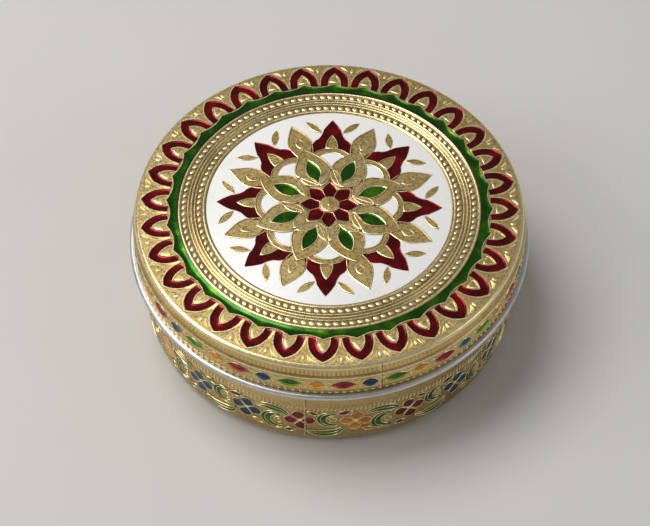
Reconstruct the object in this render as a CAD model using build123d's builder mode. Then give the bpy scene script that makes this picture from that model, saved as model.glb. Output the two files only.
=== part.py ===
from build123d import *
import os
from math import cos, radians, sin, tan

os.makedirs("parts", exist_ok=True)

# Round pressed-tin box with a lift-off lid, both dressed in embossed foil with enamel fills.
# The origin is the centre of the underside, +Z is up and -Y is the front.

# Sheet, foil and fits
sheet_thickness = 0.5
foil_thickness = 0.35
glue_line = 0.05
foil_edge_gap = 0.3
slip_gap = 0.7
seat_gap = 0.3

# Body of the box
body_radius = 94.4
body_height = 67.4
body_corner_radius = 6.0
body_foil_tuck = 4.0

# Lid
rim_bead_radius = 1.5
lid_rim_drop = 20.1
lid_wall_flare = 1.4
lid_corner_radius = 2.4
lid_inner_corner_radius = 1.0

# Relief and enamel on the lid's top
enamel_thickness = 0.45
figure_height = 0.6
ring_height = 0.9
mandala_count = 8

# Borders of the lid's top, each measured inwards from the one outside it
arch_edge_margin = 1.64
arch_height = 13.2
arch_tip_depth = 4.4
arch_foot_gap = 1.84
arch_band_width = 3.5
arch_green_gap = 0.2
green_valley_depth = 1.1
green_ring_width = 4.4
ring_width = 14.4
arch_count = 32

# Enamel drops on the lid's wall
drop_count = 48
drop_centre_drop = 12.6
drop_half_length = 4.4
drop_half_height = 2.6
drop_thickness = 0.8
drop_stand_off = 0.1
first_drop_angle = -69.2

# Vine on the body's wall
flower_count = 22
flower_rise = 19.9
petal_length = 6.2
flower_heart_radius = 1.8
scroll_rise = 21.5
scroll_radius = 6.4
scroll_width = 2.2
vine_thickness = 0.6
vine_stand_off = 0.25
first_flower_angle = -96.7

# Outlines of the mandala as shares of its radius, each point given as (along, across) on the
# motif's own axis, which runs out from the centre.
heart_share = 0.4
kite_shares = [(0.085, 0.034), (0.15, 0.054), (0.23, 0.0)]
leaf_shares = [(0.255, 0.0), (0.33, 0.052), (0.43, 0.052), (0.5, 0.0)]
petal_shares = [(0.37, 0.153), (0.45, 0.147), (0.54, 0.1), (0.625, 0.0)]
fan_shares = [(0.425, 0.0), (0.51, 0.094), (0.552, 0.0)]
band_shares = [(0.38, 0.0), (0.53, 0.152), (0.605, 0.0)]
star_shares = [(0.53, 0.17), (0.66, 0.158), (0.705, 0.104), (0.915, 0.0)]
eye_shares = [(0.58, 0.056), (0.69, 0.046), (0.755, 0.0)]
gold_leaf_shares = [(0.56, 0.07), (0.68, 0.106), (0.76, 0.088), (0.91, 0.0)]
# The ring's section, each point as (share of the ring's width, share of its height).
ring_section_shares = [(0.0, 0.0), (0.12, 1.0), (0.88, 1.0), (1.0, 0.0)]
# Shoulder of an arch's outer side, as (share of its height, share of its half width).
arch_shoulder_shares = (0.6, 0.88)

# Angles
quarter_turn = 90
mandala_step = 360 / mandala_count
arch_step = 360 / arch_count
drop_step = 360 / drop_count
flower_step = 360 / flower_count

# Heights worked out from the sizes above
lid_underside_z = body_height + seat_gap
lid_sheet_top_z = lid_underside_z + sheet_thickness
ground_z = lid_sheet_top_z + foil_thickness
rim_z = lid_underside_z - lid_rim_drop
body_foil_low_z = body_corner_radius + foil_edge_gap
body_foil_high_z = rim_z + rim_bead_radius + body_foil_tuck
skirt_foil_low_z = rim_z + rim_bead_radius + foil_edge_gap

# Radii worked out from the sizes above
body_foil_radius = body_radius + foil_thickness
lid_inner_radius = body_radius + slip_gap
lid_sheet_radius = lid_inner_radius + sheet_thickness
lid_outer_radius = lid_sheet_radius + foil_thickness
bead_centre_radius = lid_sheet_radius + lid_wall_flare + rim_bead_radius
wall_slope = lid_wall_flare / (lid_rim_drop - rim_bead_radius)

# The lid's flat top reaches to where the first facet of its corner starts.
lid_flat_radius = lid_outer_radius - lid_corner_radius * (1 - tan(radians(quarter_turn / 4)))
top_foil_radius = lid_flat_radius - foil_edge_gap
arch_tip_radius = top_foil_radius - arch_edge_margin
arch_opening_tip_radius = arch_tip_radius - arch_tip_depth
arch_base_radius = arch_tip_radius - arch_height
arch_half_width = arch_base_radius * tan(radians(arch_step / 2)) - arch_foot_gap / 2
arch_opening_half_width = arch_half_width - arch_band_width
ring_outer_radius = arch_base_radius - green_ring_width
mandala_radius = ring_outer_radius - ring_width


def polar_point(radius, angle, centre=(0, 0)):
    """Point at a radius and an angle about a centre."""
    return (
        centre[0] + radius * cos(radians(angle)),
        centre[1] + radius * sin(radians(angle)),
    )


def bend(centre, radius, start, end, runs):
    """Points on a round bend, at equal steps from one angle to another."""
    step = (end - start) / runs
    return [polar_point(radius, start + step * index, centre) for index in range(runs + 1)]


def facets(centre, radius, start, end, count):
    """Corners of the flat facets that touch a round bend from outside, side to side."""
    step = (end - start) / (count + 1)
    reach = radius / cos(radians(step / 2))
    return bend(centre, reach, start + step / 2, end - step / 2, count)


def wall_point(radius, z):
    """Point of a lid wall's face at height z, from its radius level with the lid's underside."""
    return (radius + wall_slope * (lid_underside_z - z), z)


def scaled(shares, size):
    """Points of an outline given as shares of a size."""
    return [(along * size, across * size) for along, across in shares]


def mirrored(points):
    """The points, then their mirror images across the long axis on the way back."""
    return points + [(along, -across) for along, across in reversed(points) if across != 0]


def polygon(points):
    """A straight-sided face through the points."""
    with BuildSketch(mode=Mode.PRIVATE) as outline:
        with BuildLine():
            Polyline(*points, close=True)
        make_face()
    return outline.sketch


def figure(shares):
    """A motif of the mandala that is the same on both sides of its axis."""
    return polygon(mirrored(scaled(shares, mandala_radius)))


def turned(outline, count, start_angle, mode=Mode.ADD):
    """Adds an outline to the open sketch, once at each of a number of equal turns."""
    with PolarLocations(0, count, start_angle=start_angle):
        add(outline, mode=mode)


def gold_figure_outline():
    """The raised figure without its cells: heart, petals, bands and leaves."""
    petal = figure(petal_shares)
    gold_leaf = figure(gold_leaf_shares)
    band = figure(band_shares)
    eye = figure(eye_shares)
    with BuildSketch(mode=Mode.PRIVATE) as outline:
        RegularPolygon(heart_share * mandala_radius, 2 * mandala_count)
        turned(band, mandala_count, quarter_turn)
        turned(eye, mandala_count, quarter_turn)
        turned(petal, mandala_count, quarter_turn + mandala_step / 2)
        turned(gold_leaf, mandala_count, quarter_turn + mandala_step / 2)
    return outline.sketch


def arch_outline():
    """A pointed arch band that stands on two feet and is open between them."""
    along, across = arch_shoulder_shares
    shoulder_radius = arch_base_radius + (arch_tip_radius - arch_base_radius) * along
    outer_side = [
        (arch_base_radius, arch_half_width),
        (shoulder_radius, arch_half_width * across),
        (arch_tip_radius, 0),
    ]
    opening = [
        (arch_base_radius, -arch_opening_half_width),
        (arch_opening_tip_radius, 0),
        (arch_base_radius, arch_opening_half_width),
    ]
    return polygon(mirrored(outer_side) + opening)


def green_ring_outline():
    """A ring with a scalloped outer edge: each scallop clears the feet of two arches, and each
    cusp stands at the middle of an arch."""
    green_valley_radius = arch_base_radius - green_valley_depth
    valley_x, valley_y = polar_point(green_valley_radius, arch_step / 2)
    foot_x = arch_base_radius - arch_green_gap
    run = arch_opening_half_width / (valley_y - arch_opening_half_width)
    green_cusp_radius = foot_x + (foot_x - valley_x) * run
    full_turn = (quarter_turn, quarter_turn + 4 * quarter_turn)
    cusps = bend((0, 0), green_cusp_radius, *full_turn, arch_count)
    valleys = bend((0, 0), green_valley_radius, *full_turn, 2 * arch_count)[1::2]
    scallops = [point for pair in zip(cusps, valleys) for point in pair]
    with BuildSketch(mode=Mode.PRIVATE) as outline:
        add(polygon(scallops))
        RegularPolygon(
            ring_outer_radius + glue_line, arch_count, major_radius=False, mode=Mode.SUBTRACT
        )
    return outline.sketch


# Pressed pan with a rounded bottom edge and a plain cut mouth.
with BuildPart() as body_shell:
    corner_centre = (body_radius - body_corner_radius, body_corner_radius)
    inner_corner_radius = body_corner_radius - sheet_thickness
    with BuildSketch(Plane.XZ):
        with BuildLine():
            Polyline(
                (0, 0),
                *facets(corner_centre, body_corner_radius, -quarter_turn, 0, 2),
                (body_radius, body_height),
                (body_radius - sheet_thickness, body_height),
                *facets(corner_centre, inner_corner_radius, 0, -quarter_turn, 1),
                (0, sheet_thickness),
                close=True,
            )
        make_face()
    revolve(axis=Axis.Z)
body_shell.part.label = "body_shell"
export_step(body_shell.part, "parts/body_shell.step")

# Foil strip round the straight part of the body's wall, tucked up under the closed lid.
with BuildPart() as body_wall_foil:
    with BuildSketch(Plane.XY.offset(body_foil_low_z)):
        Circle(body_foil_radius)
        Circle(body_radius + glue_line, mode=Mode.SUBTRACT)
    extrude(amount=body_foil_high_z - body_foil_low_z)
body_wall_foil.part.label = "body_wall_foil"
export_step(body_wall_foil.part, "parts/body_wall_foil.step")

# Pressed lid: flat top, tapered wall, and a full bead rolled outwards at the rim.
corner_x = lid_outer_radius - lid_corner_radius
corner_z = ground_z - lid_corner_radius
lid_corner_centre = (corner_x, corner_z)
with BuildPart() as lid_shell:
    inner_x = lid_inner_radius - lid_inner_corner_radius
    inner_z = lid_underside_z - lid_inner_corner_radius
    sheet_corner_radius = lid_corner_radius - foil_thickness
    bead_centre = (bead_centre_radius, rim_z)
    with BuildSketch(Plane.XZ):
        with BuildLine():
            Polyline(
                wall_point(lid_inner_radius, rim_z - rim_bead_radius),
                *facets((inner_x, inner_z), lid_inner_corner_radius, 0, quarter_turn, 1),
                (0, lid_underside_z),
                (0, lid_sheet_top_z),
                *facets(lid_corner_centre, sheet_corner_radius, quarter_turn, 0, 1),
                wall_point(lid_sheet_radius, rim_z + rim_bead_radius),
                *facets(bead_centre, rim_bead_radius, quarter_turn, -quarter_turn, 3),
                close=True,
            )
        make_face()
    revolve(axis=Axis.Z)
lid_shell.part.label = "lid_shell"
export_step(lid_shell.part, "parts/lid_shell.step")

# Foil strip round the lid's wall, folded over its top edge.
with BuildPart() as lid_skirt_foil:
    back_corner_radius = sheet_corner_radius + glue_line
    strip_face = facets(lid_corner_centre, lid_corner_radius, quarter_turn, 0, 1)
    strip_back = facets(lid_corner_centre, back_corner_radius, 0, quarter_turn, 1)
    with BuildSketch(Plane.XZ):
        with BuildLine():
            Polyline(
                *strip_face,
                wall_point(lid_outer_radius, skirt_foil_low_z),
                wall_point(lid_sheet_radius + glue_line, skirt_foil_low_z),
                *strip_back,
                close=True,
            )
        make_face()
    revolve(axis=Axis.Z)
lid_skirt_foil.part.label = "lid_skirt_foil"
export_step(lid_skirt_foil.part, "parts/lid_skirt_foil.step")

# Foil disc on the lid's top: a plain ground, the raised ring and the raised figure with its cells.
gold_figure = gold_figure_outline()
star = figure(star_shares)
leaf = figure(leaf_shares)
kite = figure(kite_shares)
fan = figure(fan_shares)
half_step = mandala_step / 2
with BuildPart() as lid_top_foil:
    with BuildSketch(Plane.XY.offset(lid_sheet_top_z + glue_line)):
        Circle(top_foil_radius)
    extrude(amount=foil_thickness - glue_line)
    with BuildSketch(Plane.XZ):
        with BuildLine():
            Polyline(
                *[
                    (mandala_radius + ring_width * across, ground_z + ring_height * up)
                    for across, up in ring_section_shares
                ],
                close=True,
            )
        make_face()
    revolve(axis=Axis.Z)
    with BuildSketch(Plane.XY.offset(ground_z)):
        add(gold_figure)
        turned(kite, mandala_count, quarter_turn, mode=Mode.SUBTRACT)
        turned(fan, mandala_count, quarter_turn, mode=Mode.SUBTRACT)
        turned(leaf, mandala_count, quarter_turn + half_step, mode=Mode.SUBTRACT)
    extrude(amount=figure_height)
lid_top_foil.part.label = "lid_top_foil"
export_step(lid_top_foil.part, "parts/lid_top_foil.step")


def lid_top_enamel(name, outline, count=1, start_angle=0, cut=()):
    """Writes an enamel fill of the lid's top: an outline repeated round the centre, less the cuts."""
    with BuildPart() as fill:
        with BuildSketch(Plane.XY.offset(ground_z + glue_line)):
            turned(outline, count, start_angle)
            for shape in cut:
                add(shape, mode=Mode.SUBTRACT)
        extrude(amount=enamel_thickness - glue_line)
    fill.part.label = name
    export_step(fill.part, f"parts/{name}.step")


with BuildSketch(mode=Mode.PRIVATE) as white_ground:
    RegularPolygon(mandala_radius - glue_line, 2 * arch_count)
    add(gold_figure, mode=Mode.SUBTRACT)
    turned(star, mandala_count, quarter_turn, mode=Mode.SUBTRACT)
    turned(fan, mandala_count, quarter_turn)

lid_top_enamel("white_ground_enamel", white_ground.sketch)
lid_top_enamel("red_star_enamel", star, mandala_count, quarter_turn, cut=[gold_figure])
lid_top_enamel("green_leaf_enamel", leaf, mandala_count, quarter_turn + half_step)
lid_top_enamel("red_flower_enamel", kite, mandala_count, quarter_turn)
lid_top_enamel("green_ring_enamel", green_ring_outline())
lid_top_enamel("red_arch_enamel", arch_outline(), arch_count, quarter_turn)


def wall_plane(radius, z, angle, lean=0):
    """Plane that faces outwards from a wall, its X axis level and its Y axis up the wall."""
    outward = Vector(cos(radians(angle)), sin(radians(angle)), lean).normalized()
    level = Vector(-sin(radians(angle)), cos(radians(angle)), 0)
    x, y = polar_point(radius, angle)
    return Plane(origin=(x, y, z), x_dir=level, z_dir=outward)


# Enamel drops round the lid's wall, in a repeating run of four colours.
drop_z = ground_z - drop_centre_drop
drop_radius = wall_point(lid_outer_radius, drop_z)[0] + drop_stand_off
drop_outline = polygon(
    [(drop_half_length, 0), (0, drop_half_height), (-drop_half_length, 0), (0, -drop_half_height)]
)
drop_names = ["skirt_green_enamel", "skirt_amber_enamel", "skirt_red_enamel", "skirt_blue_enamel"]
for colour, name in enumerate(drop_names):
    with BuildPart() as drops:
        for index in range(colour, drop_count, len(drop_names)):
            angle = first_drop_angle + index * drop_step
            with BuildSketch(wall_plane(drop_radius, drop_z, angle, lean=wall_slope)):
                add(drop_outline)
            extrude(amount=drop_thickness)
    drops.part.label = name
    export_step(drops.part, f"parts/{name}.step")

# Flowers of the vine, four petals each, in the order in which their colours go round the wall.
flower_outline = polygon(
    [
        polar_point(petal_length if corner % 2 == 0 else flower_heart_radius, corner * quarter_turn / 2)
        for corner in range(8)
    ]
)
flower_colours = ["red", "amber", "red", "blue", "blue", "amber"]
flower_colours += ["red", "blue", "amber", "blue", "blue"]
vine_radius = body_foil_radius + vine_stand_off
for colour in ["red", "amber", "blue"]:
    with BuildPart() as flowers:
        for index in range(flower_count):
            if flower_colours[index % len(flower_colours)] == colour:
                angle = first_flower_angle + index * flower_step
                with BuildSketch(wall_plane(vine_radius, flower_rise, angle)):
                    add(flower_outline)
                extrude(amount=vine_thickness)
    flowers.part.label = f"vine_{colour}_enamel"
    export_step(flowers.part, f"parts/vine_{colour}_enamel.step")

# Scrolls of the vine's stem, one crescent midway between each two flowers.
scroll_centre = (-scroll_radius / 2, 0)
scroll_outline = polygon(
    bend(scroll_centre, scroll_radius, -quarter_turn, quarter_turn, 3)
    + bend(scroll_centre, scroll_radius - scroll_width, quarter_turn / 3, -quarter_turn / 3, 1)
)
with BuildPart() as scrolls:
    for index in range(flower_count):
        angle = first_flower_angle + (index + 0.5) * flower_step
        with BuildSketch(wall_plane(vine_radius, scroll_rise, angle)):
            add(scroll_outline)
        extrude(amount=vine_thickness)
scrolls.part.label = "vine_green_enamel"
export_step(scrolls.part, "parts/vine_green_enamel.step")
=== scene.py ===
from math import atan2, cos, degrees, hypot, pi, radians, sin, tau

import bmesh
import bpy
from bpy.props import FloatProperty, FloatVectorProperty, IntProperty, PointerProperty
from mathutils import Matrix, Vector


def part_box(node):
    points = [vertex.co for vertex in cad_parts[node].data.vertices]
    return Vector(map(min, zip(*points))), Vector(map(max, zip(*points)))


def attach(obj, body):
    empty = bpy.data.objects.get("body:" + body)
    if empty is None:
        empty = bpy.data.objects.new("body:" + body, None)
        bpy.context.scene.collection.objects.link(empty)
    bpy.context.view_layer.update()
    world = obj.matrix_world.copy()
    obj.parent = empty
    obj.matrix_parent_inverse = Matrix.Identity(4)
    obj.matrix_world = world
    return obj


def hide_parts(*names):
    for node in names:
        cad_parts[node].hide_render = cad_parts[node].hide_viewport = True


# Looks of a round sweet box: embossed gold foil, enamel fills and bright tin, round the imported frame.

bl_info = {
    "name": "Round Sweet Box",
    "version": (1, 0, 0),
    "blender": (4, 5, 0),
    "location": "3D View > Sidebar > Sweet Box",
    "description": "Dresses the packed frame of a round sweet box in foil, enamel and tin",
    "category": "Object",
}

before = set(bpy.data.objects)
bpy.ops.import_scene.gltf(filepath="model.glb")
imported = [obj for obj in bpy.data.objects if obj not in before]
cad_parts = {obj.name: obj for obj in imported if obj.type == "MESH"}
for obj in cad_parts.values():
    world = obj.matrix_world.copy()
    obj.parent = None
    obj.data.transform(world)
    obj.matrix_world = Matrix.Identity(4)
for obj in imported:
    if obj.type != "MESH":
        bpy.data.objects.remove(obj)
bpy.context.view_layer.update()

mm = 0.001

# Places that the frame gives
top_foil_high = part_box("lid_top_foil")[1]
white_low, white_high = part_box("white_ground_enamel")
arch_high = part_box("red_arch_enamel")[1]
skirt_low, skirt_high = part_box("lid_skirt_foil")
shell_low, shell_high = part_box("lid_shell")
pan_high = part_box("body_shell")[1]
wall_foil_low, wall_foil_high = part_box("body_wall_foil")
lid_middle = Vector((0, 0, white_high.z))


def length(name, description, default):
    """A size that a user can change, in metres."""
    return FloatProperty(name=name, description=description, default=default, unit="LENGTH")


def number(name, description, default):
    """A count that a user can change."""
    return IntProperty(name=name, description=description, default=default)


def colour(name, description, default):
    """A colour that a user can change."""
    return FloatVectorProperty(
        name=name, description=description, default=default, subtype="COLOR", size=3, min=0, max=1
    )


class LidTopSizes(bpy.types.PropertyGroup):
    mandala_radius: length("Mandala radius", "White disc's radius", white_high.x)
    disc_radius: length("Disc radius", "Radius of the top's foil disc", top_foil_high.x)
    ground_height: length("Ground height", "Height of the foil's plain ground", white_low.z)
    relief: length("Relief", "Height of the gold figure's upper fields over the ground", 0.5 * mm)
    enamel: length("Enamel", "Height of the enamel's upper edge over the ground", 0.42 * mm)
    ring_width: length("Ring width", "Width of the ring with the two rope rows", 14.4 * mm)
    ring_rise: length("Ring rise", "How far the ring's crests stand up", 0.6 * mm)
    arch_tip_radius: length("Arch tip radius", "Radius that the arches' tips reach", arch_high.y)
    arch_height: length("Arch height", "From an arch's foot to its tip", 13.2 * mm)
    arch_half_width: length("Arch half width", "From an arch's axis to its outer side", 6.9 * mm)
    arch_band: length("Arch band", "Width of an arch's foot", 3.5 * mm)
    arch_tip_depth: length("Arch tip depth", "From an arch's tip to its opening's tip", 4.4 * mm)
    cord_length: length("Cord length", "Length of a cord of the rope rows, along the row", 2.75 * mm)
    cord_width: length("Cord width", "Width of a cord, across the row", 2.2 * mm)
    line_width: length("Line width", "Width of a fine raised line", 0.55 * mm)
    arch_count: number("Arches", "Arches round the border", 32)
    petal_count: number("Petals", "Petals of the mandala", 8)
    inner_cord_count: number("Inner cords", "In the inner rope row", 108)
    outer_cord_count: number("Outer cords", "In the outer rope row", 118)


class WallSizes(bpy.types.PropertyGroup):
    wall_slope: FloatProperty(name="Slope", description="Lean of the lid's wall", default=0.0753)
    foil: length("Foil", "Thickness of the foil", 0.35 * mm)
    sheet: length("Sheet", "Thickness of the tin sheet", 0.5 * mm)
    lid_corner: length("Lid corner", "Radius of the lid's corner", 2.4 * mm)
    lid_fit: length("Lid fit", "Free room between the pan's wall and the lid", 0.7 * mm)
    bead: length("Bead", "Radius of the rolled rim bead", 1.5 * mm)
    pan_corner: length("Pan corner", "Radius of the pan's lower corner", 6.0 * mm)
    crease_drop: length("Crease drop", "From the lid's top to the crease on its wall", 7.6 * mm)
    crease_rise: length("Crease rise", "How far the crease stands out", 0.8 * mm)
    drop_drop: length("Drop drop", "From the lid's top to the row of enamel drops", 12.8 * mm)
    drop_long: length("Drop length", "Half length of a long enamel drop", 5.7 * mm)
    drop_high: length("Drop height", "Half height of an enamel drop", 2.35 * mm)
    vine_low: length("Vine foot", "Height of the vine's lower edge", 8.4 * mm)
    vine_high: length("Vine top", "Height of the vine's upper edge", 32.0 * mm)
    petal: length("Petal", "Length of a petal of the vine's flowers", 7.7 * mm)
    stem: length("Stem", "Width of the vine's stems where they are widest", 4.8 * mm)
    line_width: length("Line width", "Width of a fine raised line", 0.48 * mm)
    drop_count: number("Drops", "Enamel drops round the lid", 48)
    dot_count: number("Dots", "Beads along the lid wall's foot", 180)
    flower_count: number("Flowers", "Flowers round the pan", 22)
    tick_count: number("Ticks", "Fine upright strokes round a wall", 288)


class Colours(bpy.types.PropertyGroup):
    foil: colour("Foil", "Bright gold of the foil's fields", (0.60, 0.435, 0.165))
    # Painted highlight: pale gold put on raised lines, beads, crests, the lid's corner and the crease's top
    foil_crest_highlight: colour("Foil crest", "Worn pale gold of fine lines and beads", (0.92, 0.78, 0.45))
    # Olive gold of the foil's hatch lines and darker mottling, and the painted shade of its grooves and sides
    foil_shade: colour("Foil shade", "Olive gold in the foil's hollows", (0.29, 0.20, 0.08))
    # Painted shade: the darkest tone, mottled into the foil's grooves and sides
    foil_deep_shade: colour("Foil groove", "Dark tarnish in the deepest grooves", (0.08, 0.05, 0.02))
    white: colour("White", "White enamel", (0.88, 0.88, 0.87))
    red: colour("Red", "Dark red enamel", (0.13, 0.001, 0.003))
    green: colour("Green", "Green enamel", (0.018, 0.105, 0.003))
    blue: colour("Blue", "Dark blue enamel", (0.002, 0.032, 0.085))
    amber: colour("Amber", "Amber enamel", (0.62, 0.24, 0.02))
    steel: colour("Tin", "Bright tinned steel", (0.70, 0.70, 0.71))
    floor: colour("Floor", "Pale floor", (0.62, 0.61, 0.60))


# Numbers of a gold piece's materials; the last two paint shade into grooves and a highlight onto crests
plain, hatched, groove_shade, crest_highlight = range(4)


# Outlines on the flat


def polar(radius, angle):
    """Point at a radius and an angle about the centre."""
    return (radius * cos(angle), radius * sin(angle))


def circle(radius, steps=48):
    """Points of a circle about the centre."""
    return [polar(radius, tau * index / steps) for index in range(steps)]


def round_bend(x, y, radius, start, end, steps, last_radius=None, stretch=1.0):
    """Points on an arc about (x, y), its angles in degrees, or on a spiral to a last radius."""
    last_radius = radius if last_radius is None else last_radius
    points = []
    for index in range(steps + 1):
        turn = radians(start + (end - start) * index / steps)
        reach = radius + (last_radius - radius) * index / steps
        points.append((x + stretch * reach * cos(turn), y + reach * sin(turn)))
    return points


def arc_side(start, end, bulge, runs):
    """Points from one corner up to the next on an arc that bulges to the left."""
    (ax, ay), (bx, by) = start, end
    chord = hypot(bx - ax, by - ay)
    if not bulge or not chord:
        return [start]
    rise = bulge * chord
    left = (-(by - ay) / chord, (bx - ax) / chord)
    points = []
    for index in range(runs):
        share = index / runs
        lift = 4 * rise * share * (1 - share)
        points.append((ax + (bx - ax) * share + left[0] * lift, ay + (by - ay) * share + left[1] * lift))
    return points


def half_side(corners, size=1, runs=7):
    """Points of one side of a motif, from its first corner to its last."""
    points = []
    for (ax, ay, bulge), (bx, by, _) in zip(corners, corners[1:]):
        points += arc_side((ax * size, ay * size), (bx * size, by * size), bulge, runs)
    return points + [(corners[-1][0] * size, corners[-1][1] * size)]


def motif(corners, size=1, runs=7):
    """Closed outline of a motif that is the same on both sides of its axis."""
    side = half_side(corners, size, runs)
    return side + [(x, -y) for x, y in reversed(side) if abs(y) > 1e-9]


def over_tip(side):
    """Path along one side of a motif to its tip, and back along the other side."""
    return side + [(x, -y) for x, y in reversed(side[:-1])]


def placed(points, x=0.0, y=0.0, turn=0.0):
    """The points turned and then moved."""
    return [
        (x + px * cos(turn) - py * sin(turn), y + px * sin(turn) + py * cos(turn))
        for px, py in points
    ]


def lifted(points, height):
    """Flat points at a height."""
    return [(x, y, height) for x, y in points]


# Shoulders round the top of a raised shape, as (inset, lift) steps

rim_width = 0.9 * mm
rim_rise = 0.2 * mm


def crown(width, height):
    """Shoulder that rounds over from a wall to a flat top."""
    turns = [pi / 2 * index / 3 for index in range(4)]
    return [
        (width * (cos(a) - cos(b)), height * (sin(b) - sin(a))) for a, b in zip(turns, turns[1:])
    ]


def dished(width, depth):
    """Edge of a fill that climbs its walls and lies lower in the middle."""
    return [(0.2 * width, -0.5 * depth), (0.3 * width, -0.33 * depth), (0.5 * width, -0.17 * depth)]


def rimmed(width=rim_width):
    """Rounded rim that stands up round a flat field."""
    lift_shares = (0.75, 0.25, 0.0, -0.3, -0.7)
    return [(0.2 * width, share * rim_rise) for share in lift_shares]


# Meshes


def blank_mesh():
    """An empty mesh with a UV map."""
    mesh = bmesh.new()
    mesh.loops.layers.uv.verify()
    return mesh


def paint(faces, tone):
    """Gives faces one of their piece's materials, by its number."""
    for face in faces:
        face.material_index = tone


def flat_map(mesh, faces, turn=0.0):
    """Maps faces by their place on the flat, in millimetres, so that a hatch follows the motif."""
    layer = mesh.loops.layers.uv.verify()
    for face in faces:
        for loop in face.loops:
            x, y = loop.vert.co.x / mm, loop.vert.co.y / mm
            loop[layer].uv = (x * cos(turn) - y * sin(turn), x * sin(turn) + y * cos(turn))


def raised(mesh, outlines, low, high, shoulder, field=None, hatch_turn=0.0):
    """Adds a solid that stands on an outline, holes included, with a shoulder round its top.

    On gold, the material of its field is given; its sides and its shoulder's falling steps get painted shade,
    and its rising and level steps a painted highlight.
    It is worked out in millimetres, since bmesh fills outlines badly where they are very small.
    """
    known = set(mesh.verts)
    low, high = low / mm, high / mm
    shoulder = [(inset / mm, lift / mm) for inset, lift in shoulder]
    edges = []
    for outline in outlines:
        verts = [mesh.verts.new((x / mm, y / mm, low)) for x, y in outline]
        edges += [mesh.edges.new(pair) for pair in zip(verts, verts[1:] + verts[:1])]
    filled = bmesh.ops.triangle_fill(mesh, edges=edges, use_beauty=True, use_dissolve=False)["geom"]
    floor = [item for item in filled if isinstance(item, bmesh.types.BMFace)]
    if not floor:
        raise RuntimeError("An outline could not be filled.")
    before = set(mesh.faces)
    extruded = bmesh.ops.extrude_face_region(mesh, geom=floor)["geom"]
    top = [item for item in extruded if isinstance(item, bmesh.types.BMFace)]
    top_verts = [item for item in extruded if isinstance(item, bmesh.types.BMVert)]
    wall = high - low - sum(lift for _, lift in shoulder)
    bmesh.ops.translate(mesh, verts=top_verts, vec=(0, 0, wall))
    floor = [face for face in floor if face.is_valid]
    solid = [face for face in mesh.faces if face not in before]
    bmesh.ops.recalc_face_normals(mesh, faces=solid + floor)
    gold = field is not None
    # Painted shade on the sides and falling steps, painted highlight on the rising and level steps
    if gold:
        paint(solid, groove_shade)
    for inset, lift in shoulder:
        ring = bmesh.ops.inset_region(
            mesh, faces=top, thickness=inset, depth=lift, use_even_offset=True, use_boundary=True
        )["faces"]
        solid += ring
        if gold:
            paint(ring, groove_shade if lift < 0 else crest_highlight)
    if gold:
        paint(top, field)
    bmesh.ops.delete(mesh, geom=floor, context="FACES")
    bmesh.ops.delete(mesh, geom=[edge for edge in mesh.edges if edge.is_wire], context="EDGES")
    fresh = [vert for vert in mesh.verts if vert not in known]
    bmesh.ops.scale(mesh, vec=(mm, mm, mm), verts=fresh)
    flat_map(mesh, solid, hatch_turn)


def add_line(mesh, path, width, closed=False, sides=1):
    """Adds a round raised line along a path of (x, y, z) points, and gives its faces."""
    curve = bpy.data.curves.new("line", "CURVE")
    curve.dimensions = "3D"
    curve.bevel_depth = width / 2
    curve.bevel_resolution = sides
    curve.use_fill_caps = not closed
    spline = curve.splines.new("POLY")
    spline.points.add(len(path) - 1)
    spline.use_cyclic_u = closed
    for point, place in zip(spline.points, path):
        point.co = (*place, 1)
    holder = bpy.data.objects.new("line", curve)
    line = bpy.data.meshes.new_from_object(holder)
    known = set(mesh.faces)
    mesh.from_mesh(line)
    faces = [face for face in mesh.faces if face not in known]
    flat_map(mesh, faces)
    bpy.data.objects.remove(holder)
    bpy.data.curves.remove(curve)
    bpy.data.meshes.remove(line)
    return faces


def add_pearl(mesh, place, size, turn=0.0):
    """Adds a small faceted bead, its size given as (long, wide, high)."""
    matrix = Matrix.LocRotScale(place, Matrix.Rotation(turn, 3, "Z").to_quaternion(), size)
    bmesh.ops.create_uvsphere(mesh, u_segments=8, v_segments=5, radius=0.5, matrix=matrix)


def copies_round(mesh, count, start=0.0):
    """Turns what the mesh holds to its start angle, and repeats it round the centre."""
    bmesh.ops.rotate(mesh, verts=mesh.verts, matrix=Matrix.Rotation(start, 3, "Z"))
    bmesh.ops.spin(
        mesh,
        geom=mesh.verts[:] + mesh.edges[:] + mesh.faces[:],
        axis=(0, 0, 1),
        cent=(0, 0, 0),
        angle=tau * (count - 1) / count,
        steps=count - 1,
        use_duplicate=True,
    )
    return mesh


def raised_round(count, start, outlines, low, high, shoulder, field=None):
    """Copies of a raised shape round the centre."""
    mesh = blank_mesh()
    raised(mesh, outlines, low, high, shoulder, field)
    return copies_round(mesh, count, start)


def joined(*parts):
    """One mesh that holds all the parts."""
    whole = blank_mesh()
    for part in parts:
        data = bpy.data.meshes.new("part")
        part.to_mesh(data)
        part.free()
        whole.from_mesh(data)
        bpy.data.meshes.remove(data)
    return whole


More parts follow.
